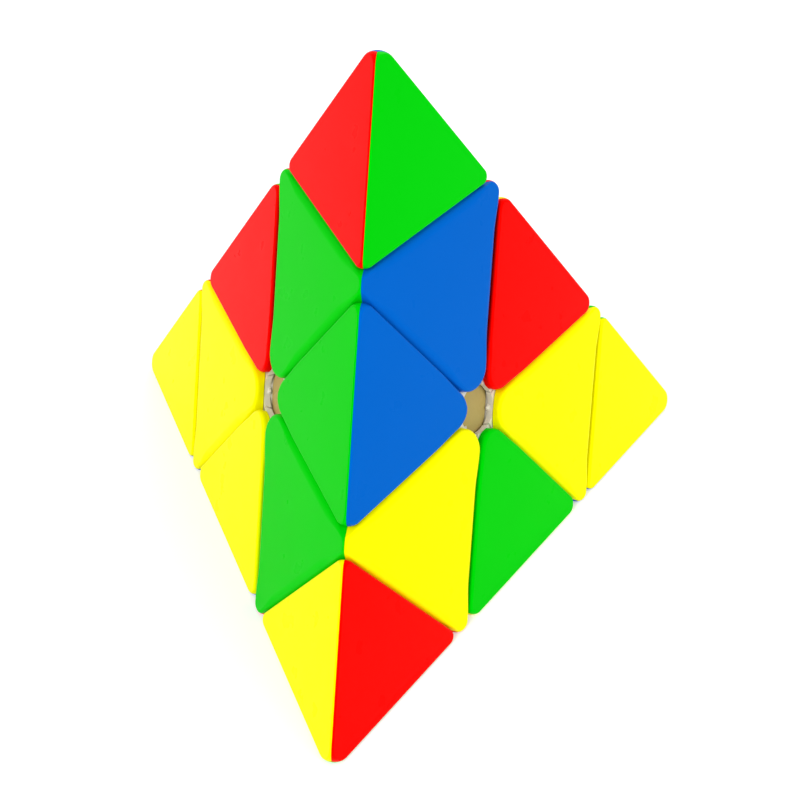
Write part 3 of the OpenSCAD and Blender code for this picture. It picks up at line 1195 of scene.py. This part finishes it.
class PUZZLE_OT_stage(bpy.types.Operator):
    """Make the floor, the soft lights and the camera"""

    bl_idname = "puzzle.stage"
    bl_label = "Stage"

    def execute(self, context):
        scene = context.scene
        mesh = bpy.data.meshes.new("floor")
        half = FLOOR_SIZE / 2
        z = -FACE_DIST
        corners = [(-half, -half, z), (half, -half, z), (half, half, z), (-half, half, z)]
        mesh.from_pydata(corners, [], [(0, 1, 2, 3)])
        floor = bpy.data.objects.new("floor", mesh)
        scene.collection.objects.link(floor)
        material, tree = new_material("matt paper floor")
        # Coated paper: matt, keeping soft shadows, and lifted to white where it is seen
        seen = seen_rays(tree)
        paper = node(
            tree,
            "ShaderNodeBsdfPrincipled",
            values={
                "Base Color": linear(scene.puzzle_colours.floor),
                "Roughness": 0.9,
                "Emission Color": (1, 1, 1, 1),
            },
        )
        lift = node(tree, "ShaderNodeMath", {"operation": "MULTIPLY"}, {1: 0.22}, {0: seen})
        tree.links.new(lift.outputs["Value"], paper.inputs["Emission Strength"])
        node(tree, "ShaderNodeOutputMaterial", links={"Surface": paper.outputs["BSDF"]})
        mesh.materials.append(material)

        world = bpy.data.worlds.new("white studio")
        scene.world = world
        world.use_nodes = True
        tree = world.node_tree
        tree.nodes.clear()
        soft = node(tree, "ShaderNodeBackground", values={"Color": (1, 1, 1, 1), "Strength": 0.62})
        white = node(tree, "ShaderNodeBackground", values={"Color": (1, 1, 1, 1), "Strength": 1.0})
        both = node(tree, "ShaderNodeMixShader", links={0: seen_rays(tree)})
        tree.links.new(soft.outputs["Background"], both.inputs[1])
        tree.links.new(white.outputs["Background"], both.inputs[2])
        node(tree, "ShaderNodeOutputWorld", links={"Surface": both.outputs["Shader"]})

        for name, place, size, power in SOFTBOXES:
            light = bpy.data.lights.new(name, "AREA")
            light.shape = "RECTANGLE"
            light.size = size
            light.size_y = size * 0.7
            light.energy = power
            lamp = bpy.data.objects.new(name, light)
            scene.collection.objects.link(lamp)
            lamp.location = place
            lamp.rotation_mode = "QUATERNION"
            lamp.rotation_quaternion = (-Vector(place)).to_track_quat("-Z", "Y")

        azimuth, elevation, roll = (math.radians(angle) for angle in CAMERA_ANGLES)
        flat = math.cos(elevation)
        back = Vector((math.sin(azimuth) * flat, -math.cos(azimuth) * flat, math.sin(elevation)))
        right = Vector((0, 0, 1)).cross(back).normalized()
        up = back.cross(right)
        turned_right = right * math.cos(roll) + up * math.sin(roll)
        turned_up = up * math.cos(roll) - right * math.sin(roll)
        camera = bpy.data.objects.new("camera", bpy.data.cameras.new("camera"))
        scene.collection.objects.link(camera)
        camera.data.lens = CAMERA_LENS
        camera.data.sensor_width = 36
        camera.data.clip_start = 0.01
        camera.data.clip_end = 10
        turn = Matrix((turned_right, turned_up, back)).transposed().to_4x4()
        away, aside, above = CAMERA_PLACE
        spot = back * away + turned_right * aside + turned_up * above
        camera.matrix_world = Matrix.Translation(spot) @ turn
        scene.camera = camera
        scene.view_settings.view_transform = "Standard"
        return {"FINISHED"}


class PUZZLE_PT_panel(bpy.types.Panel):
    """Lists the puzzle's sizes, colours and pieces"""

    bl_idname = "PUZZLE_PT_panel"
    bl_label = "Pyramid Twisty Puzzle"
    bl_space_type = "VIEW_3D"
    bl_region_type = "UI"
    bl_category = "Puzzle"

    def draw(self, context):
        layout = self.layout
        for group in (context.scene.puzzle_sizes, context.scene.puzzle_colours):
            box = layout.box()
            for name in group.__annotations__:
                box.prop(group, name)
        for operator in OPERATORS:
            layout.operator(operator.bl_idname)


OPERATORS = (
    PUZZLE_OT_materials,
    PUZZLE_OT_tip_caps,
    PUZZLE_OT_axial_caps,
    PUZZLE_OT_edge_caps,
    PUZZLE_OT_springs,
    PUZZLE_OT_washers,
    PUZZLE_OT_pivot_screws,
    PUZZLE_OT_stage,
)
CLASSES = (PuzzleSizes, PuzzleColours, *OPERATORS, PUZZLE_PT_panel)


def register():
    for cls in CLASSES:
        bpy.utils.register_class(cls)
    bpy.types.Scene.puzzle_sizes = bpy.props.PointerProperty(type=PuzzleSizes)
    bpy.types.Scene.puzzle_colours = bpy.props.PointerProperty(type=PuzzleColours)


def unregister():
    del bpy.types.Scene.puzzle_colours
    del bpy.types.Scene.puzzle_sizes
    for cls in reversed(CLASSES):
        bpy.utils.unregister_class(cls)


def main():
    register()
    bpy.ops.puzzle.materials()
    bpy.ops.puzzle.tip_caps()
    bpy.ops.puzzle.axial_caps()
    bpy.ops.puzzle.edge_caps()
    bpy.ops.puzzle.springs()
    bpy.ops.puzzle.washers()
    bpy.ops.puzzle.pivot_screws()
    bpy.ops.puzzle.stage()


if __name__ == "__main__":
    main()
